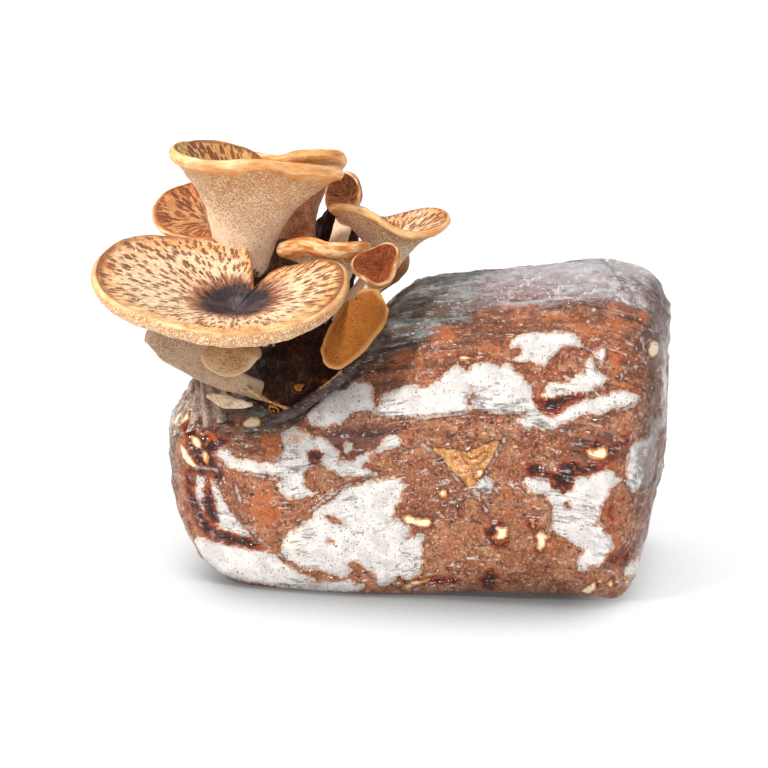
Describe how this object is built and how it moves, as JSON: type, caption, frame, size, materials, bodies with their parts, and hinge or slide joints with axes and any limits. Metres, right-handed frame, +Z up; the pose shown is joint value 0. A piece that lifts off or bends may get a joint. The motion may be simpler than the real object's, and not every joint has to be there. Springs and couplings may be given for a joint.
{
  "type": "mushroom grow kit",
  "caption": "Clear-bagged sawdust block lying on its long side, with a clump of dryad's saddle mushrooms growing out of a cut in its shoulder.",
  "frame": {"origin": "the middle of the flat face that the bagged block stands on", "axes": "+X along the block's length, to the right in the picture; +Y away from the side that carries the large cap; +Z up"},
  "size_m": [0.3141, 0.1977, 0.2464],
  "materials": {
    "substrate": "damp brown sawdust with patches of white mycelium and dark red-brown stains",
    "film": "clear, crinkled and glossy plastic film",
    "stem_base": "dark brown, dull, lumpy stem flesh",
    "mushroom": "matt tan skin with brown scales above and pale pores below"
  },
  "bodies": {
    "root": {"substrate_block": "substrate", "bag": "film", "stem_clump": "stem_base", "front_large_cap": "mushroom", "tall_funnel_cap": "mushroom", "left_back_cap": "mushroom", "rear_tall_cap": "mushroom", "small_hooded_cap": "mushroom", "right_wavy_cap": "mushroom", "middle_fan_cap": "mushroom", "pinched_pocket_cap": "mushroom", "hanging_tongue_cap": "mushroom", "lower_left_cap": "mushroom", "lower_round_cap": "mushroom", "rear_knob": "mushroom"}
  },
  "joints": []
}
